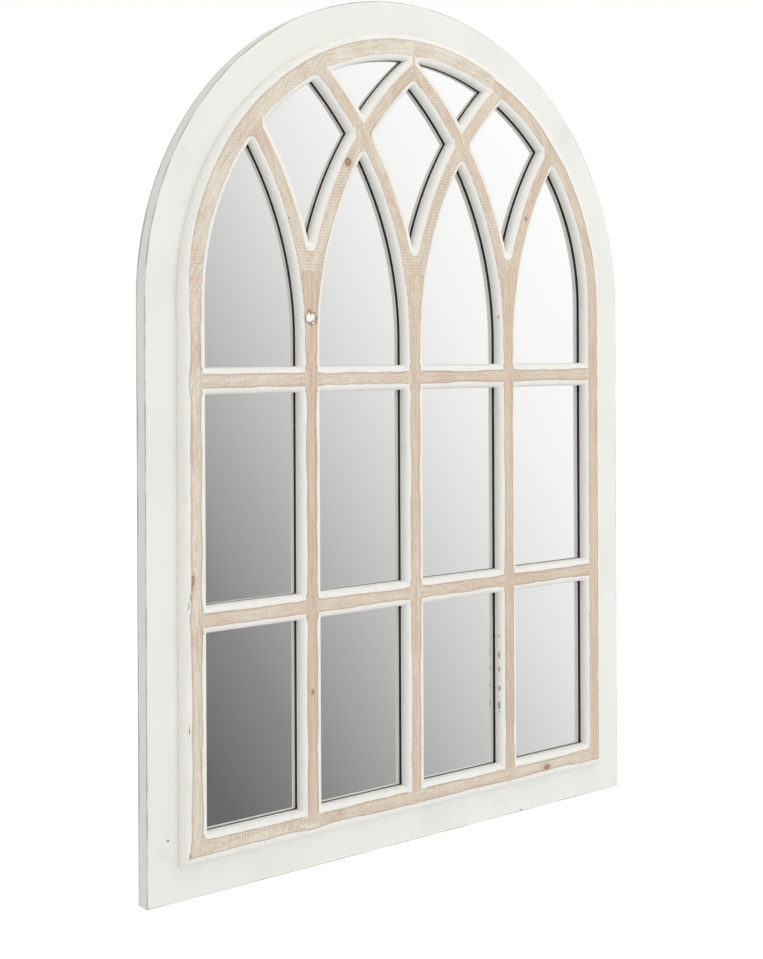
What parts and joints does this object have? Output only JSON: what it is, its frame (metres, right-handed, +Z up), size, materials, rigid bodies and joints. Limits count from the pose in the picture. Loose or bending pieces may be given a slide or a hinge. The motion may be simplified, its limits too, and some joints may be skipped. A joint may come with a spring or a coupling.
{
  "type": "window mirror",
  "caption": "Arched wall mirror in the form of a church window: flat board frame, lattice of rounded wood strips with crossing tracery ribs over a mirror sheet, strap hangers behind.",
  "frame": {"origin": "middle of the bottom rail's back face, on the wall plane", "axes": "+Z up, +X to the right seen from the front, the front faces -Y and +Y points into the wall"},
  "size_m": [0.6224, 0.0254, 0.87],
  "materials": {
    "white_paint": "matt white paint",
    "washed_fir": "whitewashed fir with white rounded edges",
    "plain_wood": "bare",
    "mirror_glass": "polished",
    "hardboard": "smooth hardboard",
    "zinc_steel": "zinc plated"
  },
  "bodies": {
    "mirror": {"frame_left_stile": "white_paint", "frame_right_stile": "white_paint", "frame_bottom_rail": "white_paint", "frame_arch_left": "white_paint", "frame_arch_crown": "white_paint", "frame_arch_right": "white_paint", "sash_left_stile": "washed_fir", "sash_right_stile": "washed_fir", "sash_bottom_rail": "washed_fir", "sash_arch_left_lower": "washed_fir", "sash_arch_left_upper": "washed_fir", "sash_arch_right_upper": "washed_fir", "sash_arch_right_lower": "washed_fir", "mullion_left": "washed_fir", "mullion_centre": "washed_fir", "mullion_right": "washed_fir", "lower_bar_1": "washed_fir", "lower_bar_2": "washed_fir", "lower_bar_3": "washed_fir", "lower_bar_4": "washed_fir", "upper_bar_1": "washed_fir", "upper_bar_2": "washed_fir", "upper_bar_3": "washed_fir", "upper_bar_4": "washed_fir", "rib_left_outer": "washed_fir", "rib_left_inner_lower": "washed_fir", "rib_left_inner_upper": "washed_fir", "rib_centre_left": "washed_fir", "rib_centre_right_lower": "washed_fir", "rib_centre_right_upper": "washed_fir", "rib_right_inner": "washed_fir", "rib_right_outer": "washed_fir", "frame_dowels": "plain_wood", "mirror_glass": "mirror_glass", "backing_board": "hardboard", "framers_points": "zinc_steel", "sash_screws": "zinc_steel", "left_hanger_strap": "zinc_steel", "right_hanger_strap": "zinc_steel", "hanger_screws": "zinc_steel"},
    "left_ring": {"left_d_ring": "zinc_steel"},
    "right_ring": {"right_d_ring": "zinc_steel"}
  },
  "joints": [
    {"name": "left_ring_swing", "type": "hinge", "parent": "mirror", "child": "left_ring", "pos_m": [-0.26565, -0.00245, 0.49085], "axis": [0, 0, 1], "range_deg": [-15, 175]},
    {"name": "right_ring_swing", "type": "hinge", "parent": "mirror", "child": "right_ring", "pos_m": [0.26565, -0.00245, 0.49085], "axis": [0, 0, -1], "range_deg": [-15, 175]}
  ]
}
